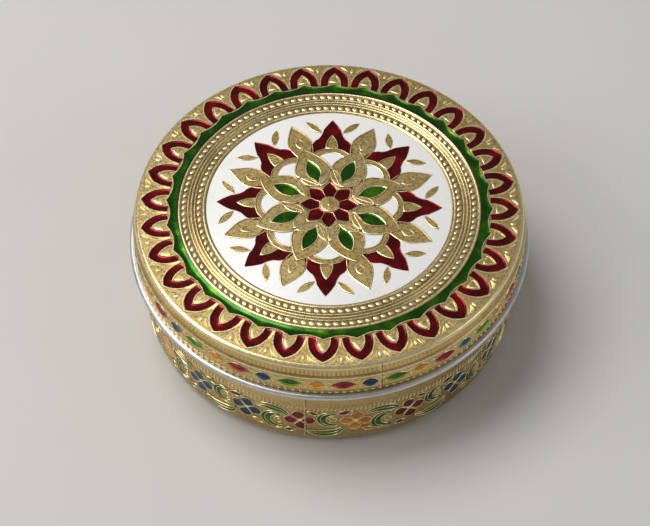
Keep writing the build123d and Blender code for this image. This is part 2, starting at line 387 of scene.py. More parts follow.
def turned(profile, steps=256):
    """A round piece: a profile of (radius, height) points spun about the upright axis."""
    mesh = blank_mesh()
    verts = [mesh.verts.new((radius, 0, height)) for radius, height in profile]
    edges = [mesh.edges.new(pair) for pair in zip(verts, verts[1:])]
    bmesh.ops.spin(
        mesh,
        geom=verts + edges,
        axis=(0, 0, 1),
        cent=(0, 0, 0),
        angle=tau,
        steps=steps,
        use_merge=True,
    )
    bmesh.ops.remove_doubles(mesh, verts=mesh.verts, dist=1e-6)
    bmesh.ops.recalc_face_normals(mesh, faces=mesh.faces)
    layer = mesh.loops.layers.uv.verify()
    for face in mesh.faces:
        middle = face.calc_center_median()
        way = atan2(middle.y, middle.x)
        for loop in face.loops:
            spot = loop.vert.co
            radius = hypot(spot.x, spot.y)
            turn = (atan2(spot.y, spot.x) - way + pi) % tau - pi if radius > 1e-6 else 0
            loop[layer].uv = (degrees(way + turn), (radius - spot.z) / mm)
    return mesh


def ridge(off, half_width, rise):
    """Height of a rounded ridge at a distance from its middle."""
    return rise * cos(off / half_width * pi / 2) if abs(off) < half_width else 0


# Pieces


def linked_object(name, data):
    """Puts a new object into the scene."""
    made = bpy.data.objects.new(name, data)
    bpy.context.scene.collection.objects.link(made)
    return made


def add_piece(name, mesh, materials, body, nodes=(), sharp=35):
    """Makes a mesh a finished piece that rides on a body and stands for its CAD nodes."""
    data = bpy.data.meshes.new(name)
    mesh.normal_update()
    mesh.to_mesh(data)
    mesh.free()
    data.shade_smooth()
    data.set_sharp_from_angle(angle=radians(sharp))
    for material in materials:
        data.materials.append(material)
    piece = linked_object(name, data)
    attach(piece, body)
    if nodes:
        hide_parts(*nodes)


def add_gold(name, mesh, body, nodes=(), first=plain):
    """Makes a mesh a piece of gold foil, with the foil's materials from a number on."""
    add_piece(name, mesh, foil_materials()[first:], body, nodes)


def add_enamel(name, mesh, shade, node, sharp=35):
    """Makes a mesh an enamel fill of the lid's top."""
    add_piece(name, mesh, [clear_enamel(shade)], "lid", [node], sharp)


def add_wall_enamel(name, mesh, body, shade, node):
    """Makes a mesh enamel fills of a wall, with a painted highlight where they climb to face upwards."""
    mesh.normal_update()
    # Faces that face upwards take the lit copy of the enamel, a painted highlight
    paint([face for face in mesh.faces if face.normal.z > 0.25], 1)
    add_piece(name, mesh, [clear_enamel(shade), lit_enamel(shade)], body, [node])


# Materials

# Brighter streaks in the clear enamels
glow_shades = {
    "red": (0.34, 0.004, 0.008),
    "green": (0.09, 0.27, 0.004),
    "blue": (0.015, 0.12, 0.19),
    "amber": (0.85, 0.42, 0.05),
}
# Painted highlight: lit copies of the enamels, for the faces of wall fills that face upwards
lit_shades = {
    "red": (0.55, 0.006, 0.02),
    "green": (0.17, 0.46, 0.01),
    "blue": (0.012, 0.16, 0.30),
    "amber": (0.95, 0.55, 0.06),
}
foil_glint = (0.95, 0.8, 0.5)
white_stain = (0.70, 0.66, 0.55)
tin_cloud = (0.35, 0.34, 0.36)
black, white_shade, pale_yellow = (0, 0, 0), (1, 1, 1), (1, 1, 0.6)
hatch_pitch_mm = 1.1


def add_node(tree, kind, inputs=(), **settings):
    """Adds a shader node, with its settings and its (socket, value or link) inputs."""
    node = tree.nodes.new(kind)
    for name, value in settings.items():
        setattr(node, name, value)
    for socket, value in inputs:
        if isinstance(value, bpy.types.NodeSocket):
            tree.links.new(value, node.inputs[socket])
        else:
            node.inputs[socket].default_value = value
    return node


def math_node(tree, operation, *values):
    """Adds a Math node and gives its result."""
    return add_node(tree, "ShaderNodeMath", enumerate(values), operation=operation).outputs[0]


def blend_values(tree, *terms):
    """Sum of (value, weight) terms."""
    total = 0.0
    for value, weight in terms:
        total = math_node(tree, "MULTIPLY_ADD", value, weight, total)
    return total


def between(tree, value, low, high):
    """Noise spread out between a low and a high value."""
    inputs = [("Value", value), ("From Min", 0.3), ("From Max", 0.7), ("To Min", low), ("To Max", high)]
    return add_node(tree, "ShaderNodeMapRange", inputs).outputs["Result"]


def mixed_colour(tree, share, shade, other):
    """Colour mixed from a shade towards a fixed other colour."""
    node = add_node(tree, "ShaderNodeMix", data_type="RGBA")
    tree.links.new(share, node.inputs[0])
    tree.links.new(shade, node.inputs[6])
    node.inputs[7].default_value = (*other, 1)
    return node.outputs[2]


def noise(tree, place, scale, detail=2, rough=0.5):
    """Noise over the object, from 0 to 1."""
    inputs = [("Vector", place.outputs["Object"]), ("Scale", scale), ("Detail", detail), ("Roughness", rough)]
    return add_node(tree, "ShaderNodeTexNoise", inputs).outputs["Fac"]


def ramp(tree, value, stops):
    """Colour ramp through (place, colour) stops."""
    node = add_node(tree, "ShaderNodeValToRGB", [("Fac", value)])
    marks = node.color_ramp.elements
    while len(marks) < len(stops):
        marks.new(0.5)
    for mark, (place, shade) in zip(marks, stops):
        mark.position = place
        mark.color = (*shade, 1)
    return node.outputs["Color"]


def blended(shade, other, share):
    """A colour part of the way from one to another."""
    return tuple(a + (b - a) * share for a, b in zip(shade, other))


def user_shade(name):
    """One of the colours that a user can change."""
    return tuple(getattr(bpy.context.scene.sweet_box_colours, name))


def kept_material(name, make, *values):
    """The material of a name, made when it is first asked for."""
    return bpy.data.materials.get(name) or make(name, *values)


def new_material(name, fixed):
    """A material with fixed values on its shader, and its tree, shader and coordinates."""
    material = bpy.data.materials.new(name)
    material.use_nodes = True
    tree = material.node_tree
    surface = tree.nodes["Principled BSDF"]
    for socket, value in fixed.items():
        surface.inputs[socket].default_value = value
    return material, tree, surface, add_node(tree, "ShaderNodeTexCoord")


def dress(tree, surface, tint, rough, height, strength, depth):
    """Gives a shader its colour, its roughness and a bump of a strength and depth."""
    tree.links.new(tint, surface.inputs["Base Color"])
    tree.links.new(rough, surface.inputs["Roughness"])
    bump = add_node(tree, "ShaderNodeBump", [("Height", height), ("Strength", strength), ("Distance", depth)])
    tree.links.new(bump.outputs["Normal"], surface.inputs["Normal"])


def foil(name, bright, shade, hatch=0.0):
    """Embossed gold foil of one tone, with a fine grain and, where asked, a hatch."""
    material, tree, surface, place = new_material(name, {"Metallic": 1.0})
    spread = noise(tree, place, 55, detail=4, rough=0.6)
    speckle = noise(tree, place, 700, rough=0.6)
    stipple = 0.2 if hatch else 0.7
    mixed = blend_values(tree, (spread, 1 - stipple / 4), (speckle, stipple / 4))
    stops = [(0.32, blended(bright, shade, 0.2)), (0.46, bright), (0.66, blended(bright, foil_glint, 0.2))]
    tint = ramp(tree, mixed, stops)
    grain = noise(tree, place, 1500)
    dents = noise(tree, place, 350)
    height = blend_values(tree, (grain, 0.3), (dents, stipple))
    if hatch:
        across = add_node(tree, "ShaderNodeSeparateXYZ", [("Vector", place.outputs["UV"])]).outputs["X"]
        steps = blend_values(tree, (across, tau / hatch_pitch_mm), (dents, 0.5))
        wave = math_node(tree, "MULTIPLY_ADD", math_node(tree, "SINE", steps), 0.5, 0.5)
        cut = math_node(tree, "POWER", wave, 5.0)
        height = blend_values(tree, (height, 1.0), (cut, -hatch))
        tint = mixed_colour(tree, math_node(tree, "MULTIPLY", cut, hatch), tint, shade)
    dress(tree, surface, tint, between(tree, speckle, 0.22, 0.42), height, 0.4, 0.1 * mm)
    return material


def foil_materials():
    """The foil's materials in the order of their numbers: plain, hatched, painted shade for grooves and a
    painted highlight for crests.
    """
    bright, pale, shade, deep = map(user_shade, ("foil", "foil_crest_highlight", "foil_shade", "foil_deep_shade"))
    return [
        kept_material("plain_foil", foil, bright, shade),
        kept_material("hatched_foil", foil, bright, shade, 0.3),
        kept_material("groove_foil", foil, shade, deep),
        kept_material("crest_foil", foil, pale, bright),
    ]


def lacquer(name, shade, glow):
    """Translucent lacquer over foil: a deep colour with brighter streaks and a clear gloss coat."""
    fixed = {"Metallic": 0.85, "Coat Weight": 0.2, "Coat Roughness": 0.08}
    material, tree, surface, place = new_material(name, fixed)
    spread = noise(tree, place, 120, detail=3, rough=0.55)
    stops = [(0.30, blended(shade, black, 0.35)), (0.50, shade), (0.74, glow)]
    grain = noise(tree, place, 900)
    height = blend_values(tree, (grain, 0.12), (spread, 3.0))
    rough = between(tree, grain, 0.18, 0.28)
    dress(tree, surface, ramp(tree, spread, stops), rough, height, 0.4, 0.12 * mm)
    return material


def clear_enamel(shade):
    """The enamel of one of the box's four clear colours."""
    return kept_material(f"{shade}_lacquer", lacquer, user_shade(shade), glow_shades[shade])


def lit_enamel(shade):
    """A lit copy of the enamel: a painted highlight on the faces at the lower edge of a cell, which climb to
    face upwards.
    """
    lit = lit_shades[shade]
    return kept_material(f"lit_{shade}_lacquer", lacquer, lit, blended(lit, pale_yellow, 0.25))


def white_lacquer(name):
    """Opaque white lacquer with a soft gloss and faint stains."""
    fixed = {"Coat Weight": 0.15, "Coat Roughness": 0.15}
    material, tree, surface, place = new_material(name, fixed)
    white = user_shade("white")
    stain = noise(tree, place, 60, detail=4, rough=0.65)
    tint = ramp(tree, stain, [(0.25, blended(white, white_stain, 0.35)), (0.42, white)])
    fine = noise(tree, place, 260)
    dress(tree, surface, tint, between(tree, fine, 0.32, 0.45), fine, 0.25, 0.2 * mm)
    return material


def bright_tin(name):
    """Bright tinned steel with faint clouds and a fine grain."""
    material, tree, surface, place = new_material(name, {"Metallic": 1.0})
    tin = user_shade("steel")
    cloud = noise(tree, place, 70, detail=4, rough=0.6)
    tint = ramp(tree, cloud, [(0.3, blended(tin, tin_cloud, 0.4)), (0.6, tin)])
    grain = noise(tree, place, 1200)
    dress(tree, surface, tint, between(tree, cloud, 0.30, 0.44), grain, 0.2, 0.05 * mm)
    return material


# Lid top: ring and rope rows

# Crests of the ring as (radius, half width, height), the first two as shares of the mandala's
# radius and the height as a share of the ring's own.
ring_crest_shares = [
    (1.022, 0.016, 1.0),
    (1.094, 0.011, 0.9),
    (1.121, 0.013, 1.0),
    (1.148, 0.011, 0.9),
    (1.220, 0.017, 1.0),
]
# Heights as shares of the ring's own: its floor, the height below which its faces get painted shade, the one
# above which they get a painted highlight, and the ropes' tops
ring_floor_share, groove_share, crest_share, rope_share = 0.1, 0.22, 0.72, 0.9
ring_steps, ring_ramp_steps = 112, 3
rope_shares = [1.058, 1.181]
cord_cut_shares = (0.25, 0.75)
cord_skew_share = 0.4
cord_crown = (0.7 * mm, 0.4 * mm)
disc_edge = 0.1 * mm
disc_depth = 0.3 * mm


def ring_profile(sizes):
    """Section of the ring with its crests, as (radius, height) points from inside out."""
    profile = []
    for index in range(ring_steps + 1):
        spot = sizes.mandala_radius + sizes.ring_width * index / ring_steps
        ramp_share = min(index, ring_steps - index) / ring_ramp_steps
        rise = ring_floor_share * min(ramp_share, 1)
        for middle, half_width, height in ring_crest_shares:
            off = spot / sizes.mandala_radius - middle
            if abs(off) < half_width:
                rise = max(rise, ring_floor_share + ridge(off, half_width, height - ring_floor_share))
        profile.append((spot, sizes.ground_height + sizes.ring_rise * rise))
    return profile


def top_disc(sizes):
    """Foil disc of the lid's top, with painted shade in the grooves of its ring and a painted highlight on
    its crests.
    """
    ground, inside, outside = sizes.ground_height, sizes.mandala_radius, sizes.disc_radius
    ring_end = inside + sizes.ring_width
    profile = [(0, ground), (inside, ground)] + ring_profile(sizes)
    profile += [(ring_end, ground), (outside - disc_edge, ground)]
    profile += [(outside, ground - disc_edge), (outside, ground - disc_depth)]
    disc = turned(profile)
    low, high = (ground + sizes.ring_rise * share for share in (groove_share, crest_share))
    for face in disc.faces:
        middle = face.calc_center_median()
        if inside < hypot(middle.x, middle.y) < ring_end:
            face.material_index = groove_shade if middle.z < low else crest_highlight if middle.z > high else plain
    return disc


def rope_rows(sizes):
    """Two rows of short slanted cords along the ring."""
    wide, long = sizes.cord_width / 2, sizes.cord_length / 2
    corners = [(-wide, -long - cord_skew_share * wide), (wide, -long + cord_skew_share * wide)]
    corners += [(-x, -y) for x, y in corners]
    high = sizes.ground_height + sizes.ring_rise * rope_share
    rope = blank_mesh()
    for share, count in zip(rope_shares, (sizes.inner_cord_count, sizes.outer_cord_count)):
        middle = share * sizes.mandala_radius
        outline = [
            (middle + ax + (bx - ax) * cut, ay + (by - ay) * cut)
            for (ax, ay), (bx, by) in zip(corners, corners[1:] + corners[:1])
            for cut in cord_cut_shares
        ]
        cords = raised_round(count, 0, [outline], sizes.ground_height, high, crown(*cord_crown))
        rope = joined(rope, cords)
    return rope


class BuildTopGround(bpy.types.Operator):
    """Foil disc of the lid's top, with the crested ring and its rope rows"""

    bl_idname = "sweet_box.top_ground"
    bl_label = "Top Foil Ground"

    def execute(self, context):
        sizes = context.scene.lid_top_sizes
        add_gold("lid_top_foil_disc", top_disc(sizes), "lid", ["lid_top_foil"])
        # The rope rows are all pale gold, a painted highlight
        add_gold("lid_top_rope_rows", rope_rows(sizes), "lid", first=crest_highlight)
        return {"FINISHED"}


# Lid top: mandala

# Outlines as shares of the mandala's radius, each corner given as (along, across, bulge) on the
# motif's own axis, which runs out from the centre. The bulge is the height of the arc to the next
# corner as a share of its chord, outwards.
kite_shares = [(0.082, 0.031, 0.0), (0.153, 0.059, 0.05), (0.234, 0.0, 0.0)]
leaflet_shares = [(0.0, 0.0, 0.21), (0.205, 0.0, 0.0)]
petal_shares = [(0.205, 0.0, 0.02), (0.372, 0.152, 0.08), (0.508, 0.104, 0.05), (0.626, 0.0, 0.0)]
leaf_shares = [(0.248, 0.0, 0.21), (0.500, 0.0, 0.0)]
band_shares = [(0.556, 0.0, -0.10), (0.500, 0.112, 0.0), (0.528, 0.172, 0.12), (0.608, 0.0, 0.0)]
star_shares = [
    (0.600, 0.0, -0.10),
    (0.528, 0.172, 0.06),
    (0.655, 0.157, 0.06),
    (0.704, 0.112, -0.06),
    (0.800, 0.074, 0.03),
    (0.917, 0.0, 0.0),
]
eye_shares = [(0.598, 0.0, 0.0), (0.600, 0.052, 0.10), (0.756, 0.0, 0.0)]
gold_leaf_shares = [(0.540, 0.060, 0.03), (0.675, 0.104, 0.06), (0.775, 0.083, 0.02), (0.912, 0.0, 0.0)]
swirl_shares = [(0.632, 0.0, 0.30), (0.762, 0.0, 0.0)]
flank_leaf_shares = [(0.0, 0.0, 0.17), (0.185, 0.0, 0.0)]
boss_share, heart_share, heart_floor_share = 0.072, 0.245, 0.385
# Middle, widest and narrowest reach of a swirl's spiral, and the points of a flank leaf's rib
spiral_shares = (0.692, 0.030, 0.010)
rib_shares = (0.03, 0.09, 0.155)
# Roots of the leaflets and flank leaves, and their lean away from the star petal's axis in degrees
leaflet_root_shares, leaflet_lean = (0.187, 0.081), -20
flank_root_shares, flank_lean = (0.772, 0.086), 50

star_turn = pi / 2
# Steps between the mandala's overlapping layers, and heights of its parts over them
layer_step = 0.25 * mm
layer_lap = 0.04 * mm
leaflet_rise = 0.15 * mm
heart_drop = 0.05 * mm
heart_floor_rise = 0.19 * mm
boss_rise = 0.1 * mm
spiral_rise = 0.1 * mm
rib_rise = 0.05 * mm
# Widths of the small leaves' rims, and of a rib as a multiple of a fine line's
leaflet_rim, flank_rim, rib_gauge = 0.7 * mm, 0.6 * mm, 0.7
heart_crown, boss_crown = (0.12 * mm, 0.12 * mm), (0.5 * mm, 0.2 * mm)
heart_pearl = (1.6 * mm, 1.6 * mm, 0.5 * mm)


def petal_angle(sizes):
    """Angle of the mandala's first loop petal, midway between two star petals."""
    return star_turn + pi / sizes.petal_count


def layers(sizes):
    """The mandala's size, its ground, its lower fields' height and its upper fields' height."""
    field = sizes.ground_height + sizes.relief
    return sizes.mandala_radius, sizes.ground_height, field - layer_step, field


def mandala_loops(sizes):
    """Broad hatched loops, each round a green leaf."""
    size, ground, _, field = layers(sizes)
    outlines = [motif(petal_shares, size), motif(leaf_shares, size)]
    return raised_round(
        sizes.petal_count, petal_angle(sizes), outlines, ground, field, rimmed(), hatched
    )


def mandala_bands(sizes):
    """Hatched bands at the feet of the star petals, and a hatched eye on each petal."""
    size, ground, under, _ = layers(sizes)
    bands = blank_mesh()
    for shares, high in ((band_shares, under), (eye_shares, under + layer_lap)):
        raised(bands, [motif(shares, size)], ground, high, rimmed(), hatched, pi / 2)
    return copies_round(bands, sizes.petal_count, star_turn)


def mandala_leaves(sizes):
    """Plain leaves beyond the loops, each with a raised field and a spiral on it."""
    size, ground, under, _ = layers(sizes)
    leaves = blank_mesh()
    for shares, high in ((gold_leaf_shares, under - layer_lap), (swirl_shares, under + layer_lap)):
        raised(leaves, [motif(shares, size)], ground, high, rimmed(), plain)
    middle, wide, narrow = (share * size for share in spiral_shares)
    spiral = round_bend(middle, 0, wide, 180, 648, 24, last_radius=narrow, stretch=1.3)
    add_line(leaves, lifted(spiral, under + spiral_rise), sizes.line_width)
    return copies_round(leaves, sizes.petal_count, petal_angle(sizes))


def mandala_leaflets(sizes):
    """Pairs of leaflets at the heart, and of ribbed flank leaves at the star petals."""
    size, ground, under, field = layers(sizes)
    leaflets = blank_mesh()
    for hand in (1, -1):
        along, across = (share * size for share in leaflet_root_shares)
        leaflet = placed(motif(leaflet_shares, size), along, across * hand, radians(leaflet_lean) * hand)
        raised(leaflets, [leaflet], ground, field + leaflet_rise, rimmed(leaflet_rim), plain)
        along, across = (share * size for share in flank_root_shares)
        spot = (along, across * hand, radians(flank_lean) * hand)
        flank = placed(motif(flank_leaf_shares, size), *spot)
        raised(leaflets, [flank], ground, under, rimmed(flank_rim), plain)
        rib = placed([(share * size, 0) for share in rib_shares], *spot)
        add_line(leaflets, lifted(rib, under + rib_rise), sizes.line_width * rib_gauge)
    return copies_round(leaflets, sizes.petal_count, star_turn)


def mandala_heart(sizes):
    """Round heart with openings for the red kites, a floor about it with painted shade, and a boss with a
    pearl.
    """
    size, ground, _, field = layers(sizes)
    kites = [
        placed(motif(kite_shares, size), turn=star_turn + index * tau / sizes.petal_count)
        for index in range(sizes.petal_count)
    ]
    edge = crown(*heart_crown)
    boss_top = field + boss_rise
    heart = blank_mesh()
    raised(heart, [circle(heart_share * size)] + kites, ground, field - heart_drop, edge, plain)
    # The floor about the heart is painted shade
    raised(heart, [circle(heart_floor_share * size)], ground, ground + heart_floor_rise, edge, groove_shade)
    raised(heart, [circle(boss_share * size, 24)], ground, boss_top, crown(*boss_crown), plain)
    add_pearl(heart, (0, 0, boss_top), heart_pearl)
    return heart


class BuildMandala(bpy.types.Operator):
    """Raised gold figure of the mandala, with its loops, bands, leaves and veins"""

    bl_idname = "sweet_box.mandala"
    bl_label = "Mandala"

    def execute(self, context):
        sizes = context.scene.lid_top_sizes
        add_gold("mandala_loops", mandala_loops(sizes), "lid")
        add_gold("mandala_bands", mandala_bands(sizes), "lid")
        add_gold("mandala_leaves", mandala_leaves(sizes), "lid")
        add_gold("mandala_leaflets", mandala_leaflets(sizes), "lid")
        add_gold("mandala_heart", mandala_heart(sizes), "lid")
        return {"FINISHED"}


# Lid top: arches

# Heights over the ground of the lines, the leaves, the drops and the green ring's outer line
line_rise, arch_leaf_rise, arch_drop_rise, scallop_rise = 0.14 * mm, 0.3 * mm, 0.45 * mm, 0.25 * mm
# How far the lines stand off the enamel's edge, and the leaf off its opening's side and foot
outer_line_gap, inner_line_gap, scallop_gap = 0.52 * mm, 0.25 * mm, 0.2 * mm
leaf_gap, leaf_foot_gap = 0.75 * mm, 1.8 * mm
# Widths of the lines as multiples of a fine line's
outer_line_gauge, inner_line_gauge, scallop_gauge = 2.0, 1.4, 1.2
# Where the sides of an arch and of its opening begin to bend, as shares of their height, and how much
arch_bend_share, arch_bulge_share = 0.24, 0.148
opening_bend_share, opening_bulge_share = 0.2, 0.111
# How far a margin moves the sharp tip of an arch, as a share of the margin
tip_share = 1.6
arch_leaf_crown, arch_drop_crown = (0.6 * mm, 0.25 * mm), (0.4 * mm, 0.3 * mm)
# A teardrop's back, widest place and front, counted back from the arches' tips, and its half width
teardrop_back, teardrop_wide, teardrop_front, teardrop_half = 3.4 * mm, 1.0 * mm, 0.4 * mm, 0.75 * mm
# The scalloped edge: its reach between two cusps, its depth and how sharp its cusps are
scallop_reach, scallop_depth, scallop_power = 1.0 * mm, 2.2 * mm, 1.8
scallop_steps = 768
# Rays beside a teardrop: the first one's lean in degrees and place, and the steps to the next ones
ray_count, ray_length, ray_width = 4, 3.4 * mm, 0.4 * mm
ray_lean, ray_lean_step = 16, 13
ray_back, ray_back_step = 3.2 * mm, 0.5 * mm
ray_out, ray_out_step = 1.5 * mm, 0.55 * mm
ray_edge = 0.4 * mm


def arch_foot(sizes):
    """Radius of the arches' feet."""
    return sizes.arch_tip_radius - sizes.arch_height


def arch_corners(sizes, margin=0.0):
    """Outer side of an arch from its foot to its tip, moved outwards by a margin."""
    foot, half = arch_foot(sizes), sizes.arch_half_width + margin
    tip = sizes.arch_tip_radius + tip_share * margin
    bend = foot + sizes.arch_height * arch_bend_share
    return [(foot, half, 0.0), (bend, half, arch_bulge_share), (tip, 0.0, 0.0)]


def opening_corners(sizes, margin=0.0):
    """Side of an arch's opening from its foot to its tip, moved inwards by a margin."""
    foot, half = arch_foot(sizes), sizes.arch_half_width - sizes.arch_band - margin
    tip = sizes.arch_tip_radius - sizes.arch_tip_depth - tip_share * margin
    bend = foot + (tip - foot) * opening_bend_share
    return [(foot, half, 0.0), (bend, half, opening_bulge_share), (tip, 0.0, 0.0)]


def arch_side(sizes, margin=0.0):
    """Path round an arch on its outer side."""
    return over_tip(half_side(arch_corners(sizes, margin)))


def opening_side(sizes, margin=0.0):
    """Path round an arch's opening."""
    return over_tip(half_side(opening_corners(sizes, margin), runs=6))


def scallop_radius(sizes, way):
    """Radius of the green ring's outer edge, which has a cusp in front of every arch."""
    step = tau / sizes.arch_count
    from_cusp = abs((way - pi / 2 + step / 2) % step - step / 2) / (step / 2)
    return arch_foot(sizes) + scallop_reach - scallop_depth * (1 - (1 - from_cusp) ** scallop_power)


def arch_lines(sizes):
    """Gold lines on both sides of every arch, and one along the green ring's scallops."""
    ground, width = sizes.ground_height, sizes.line_width
    lines = blank_mesh()
    for path, gauge in (
        (arch_side(sizes, outer_line_gap), outer_line_gauge),
        (opening_side(sizes, inner_line_gap), inner_line_gauge),
    ):
        add_line(lines, lifted(path, ground + line_rise), width * gauge)
    copies_round(lines, sizes.arch_count, pi / 2)
    ways = [tau * index / scallop_steps for index in range(scallop_steps)]
    edge = [polar(scallop_radius(sizes, way) + scallop_gap, way) for way in ways]
    scallop = blank_mesh()
    add_line(scallop, lifted(edge, ground + scallop_rise), width * scallop_gauge, closed=True)
    return joined(lines, scallop)


def arch_leaves(sizes):
    """A plain raised leaf in every arch's opening."""
    ground, foot = sizes.ground_height, arch_foot(sizes) + leaf_foot_gap
    leaf = [(x, y) for x, y in motif(opening_corners(sizes, leaf_gap)) if x > foot]
    high, shoulder = ground + arch_leaf_rise, crown(*arch_leaf_crown)
    return raised_round(sizes.arch_count, pi / 2, [leaf], ground, high, shoulder, plain)


def arch_drops(sizes):
    """A teardrop between every two arches, with rays fanning out on both sides of it."""
    ground, tip = sizes.ground_height, sizes.arch_tip_radius
    corners = [
        (tip - teardrop_back, 0, 0.2),
        (tip - teardrop_wide, teardrop_half, 0.4),
        (tip - teardrop_front, 0, 0),
    ]
    drops = blank_mesh()
    teardrop = motif(corners, runs=5)
    raised(drops, [teardrop], ground, ground + arch_drop_rise, crown(*arch_drop_crown))
    for side in (-1, 1):
        for ray in range(ray_count):
            lean = radians(ray_lean + ray_lean_step * ray) * side
            x = tip - ray_back + ray_back_step * ray
            y = (ray_out + ray_out_step * ray) * side
            end_x = min(x + ray_length * cos(lean), sizes.disc_radius - ray_edge)
            end_y = y + ray_length * sin(lean)
            add_line(drops, lifted([(x, y), (end_x, end_y)], ground), ray_width, sides=0)
    return copies_round(drops, sizes.arch_count, pi / 2 + pi / sizes.arch_count)


class BuildArches(bpy.types.Operator):
    """Gold lines round the arches, the leaves in them and the drops between them"""

    bl_idname = "sweet_box.arches"
    bl_label = "Arch Border"

    def execute(self, context):
        sizes = context.scene.lid_top_sizes
        # The lines and the drops are all pale gold, a painted highlight
        add_gold("arch_lines", arch_lines(sizes), "lid", first=crest_highlight)
        add_gold("arch_leaves", arch_leaves(sizes), "lid")
        add_gold("arch_drops", arch_drops(sizes), "lid", first=crest_highlight)
        return {"FINISHED"}


# Lid top: enamel

# Height of the white ground, the width of its sloping edge, and the height of the fills' middles
white_rise, white_edge, fill_rise = 0.14 * mm, 0.3 * mm, 0.27 * mm
fill_edge, fill_depth = 0.9 * mm, 0.2 * mm
# Section of the green ring as shares of its width and of the enamel's height
green_section_shares = [
    (0.0, 1.2),
    (0.08, 1.1),
    (0.22, 0.7),
    (0.5, 0.55),
    (0.78, 0.7),
    (0.92, 1.1),
    (1.0, 1.2),
    (1.0, 0.0),
]
green_steps, green_rib = 720, 0.12 * mm
rib_from_share, rib_to_share = 0.1, 0.9


def green_ring(sizes):
    """Hollow green ring with fine ribs, whose outer edge runs in scallops before the arches."""
    inside = sizes.mandala_radius + sizes.ring_width
    width = arch_foot(sizes) - inside
    profile = [
        (inside + width * x, sizes.ground_height + sizes.enamel * y) for x, y in green_section_shares
    ]
    ring = turned(profile, green_steps)
    for vert in ring.verts:
        radius, way = hypot(vert.co.x, vert.co.y), atan2(vert.co.y, vert.co.x)
        share = (radius - inside) / width
        moved = inside + (scallop_radius(sizes, way) - inside) * share
        vert.co.x *= moved / radius
        vert.co.y *= moved / radius
        if rib_from_share < share < rib_to_share:
            vert.co.z += green_rib * (1 if round(way / tau * green_steps) % 2 else -1)
    return ring


class BuildTopEnamel(bpy.types.Operator):
    """White, red and green enamel fills of the lid's top"""

    bl_idname = "sweet_box.top_enamel"
    bl_label = "Top Enamel"

    def execute(self, context):
        sizes = context.scene.lid_top_sizes
        size, ground = sizes.mandala_radius, sizes.ground_height
        white_top = ground + white_rise
        white = turned([(0, white_top), (size - white_edge, white_top), (size, ground)], 128)
        white_finish = [kept_material("white_lacquer", white_lacquer)]
        add_piece("white_ground", white, white_finish, "lid", ["white_ground_enamel"])

        petals, between_petals, arches = sizes.petal_count, petal_angle(sizes), sizes.arch_count
        arch = arch_side(sizes) + opening_side(sizes)[::-1]
        fills = [
            ("red_star", "red", "red_star_enamel", motif(star_shares, size), petals, star_turn),
            ("green_leaves", "green", "green_leaf_enamel", motif(leaf_shares, size), petals, between_petals),
            ("red_flower", "red", "red_flower_enamel", motif(kite_shares, size), petals, star_turn),
            ("red_arches", "red", "red_arch_enamel", arch, arches, pi / 2),
        ]
        hollow = dished(fill_edge, fill_depth)
        for name, shade, node, outline, count, start in fills:
            fill = raised_round(count, start, [outline], ground, ground + fill_rise, hollow)
            add_enamel(name, fill, shade, node)
        add_enamel("green_ring", green_ring(sizes), "green", "green_ring_enamel", sharp=60)
        return {"FINISHED"}


# Walls

# Angles on the walls in degrees, counted round from the right-hand side as seen from above.
first_drop = -69.2
first_flower = -96.7
skirt_seam = -73.7
wall_seam = -95.2
# Lines of a lap seam as (across, out, width, material), the lengths in millimetres: the first is a painted
# highlight on the strip's edge, the second a dark line in the gap
seam_lines = ((0, 0.12, 0.7, crest_highlight), (0.55, 0.02, 0.6, groove_shade))


def lid_wall_radius(height):
    """Radius of the skirt foil's face at a height."""
    sizes = bpy.context.scene.wall_sizes
    return skirt_high.x - sizes.wall_slope * (height - skirt_low.z)


def pan_wall_radius(height):
    """Radius of the pan's wall foil, the same at every height."""
    return wall_foil_high.x


def wrapped(mesh, angle, height, radius_at):
    """Bends a flat mesh onto a round wall: x runs round it, y up it and z out of it."""
    middle = radius_at(height)
    for vert in mesh.verts:
        x, y, z = vert.co
        radius = radius_at(height + y) + z
        way = angle + x / middle
        vert.co = (radius * cos(way), radius * sin(way), height + y)
    return mesh


def lap_seam(angle, low, high, radius_at):
    """Edge of a foil strip where it laps over its own start: a painted highlight on the edge beside a dark
    gap.
    """
    seam = blank_mesh()
    rise = [(high - low) * index / 8 for index in range(9)]
    for across, out, width, tone in seam_lines:
        paint(add_line(seam, [(across * mm, y, out * mm) for y in rise], width * mm, sides=0), tone)
    return wrapped(seam, radians(angle), low, radius_at)


def strokes_round(stroke, width, angle, height, radius_at, count):
    """Fine raised strokes side by side round a wall."""
    strokes = blank_mesh()
    add_line(strokes, stroke, width, sides=0)
    return copies_round(wrapped(strokes, angle, height, radius_at), count)


# Lid wall


class BuildLidShell(bpy.types.Operator):
    """Bright tin shell of the lid with its rolled rim bead"""

    bl_idname = "sweet_box.lid_shell"
    bl_label = "Lid Shell"

    def execute(self, context):
        sizes = context.scene.wall_sizes
        slope = sizes.wall_slope
        top = shell_high.z
        under = top - sizes.sheet
        bead_z = shell_low.z + sizes.bead
        bead_x = shell_high.x - sizes.bead
        inner = pan_high.x + sizes.lid_fit
        outer = inner + sizes.sheet
        corner = sizes.lid_corner - sizes.foil
        bend = 2 * sizes.sheet
        profile = [(0, under)]
        profile += round_bend(inner - bend, under - bend, bend, 90, 0, 5)
        profile.append((inner + slope * (under - shell_low.z), shell_low.z))
        profile += round_bend(bead_x, bead_z, sizes.bead, -90, 100, 18)
        profile.append((outer + slope * (under - bead_z - sizes.bead), bead_z + sizes.bead))
        profile += round_bend(outer - corner, top - corner, corner, 0, 90, 6)
        profile.append((0, top))
        tin = [kept_material("bright_tin", bright_tin)]
        add_piece("lid_tin", turned(profile), tin, "lid", ["lid_shell"])
        return {"FINISHED"}


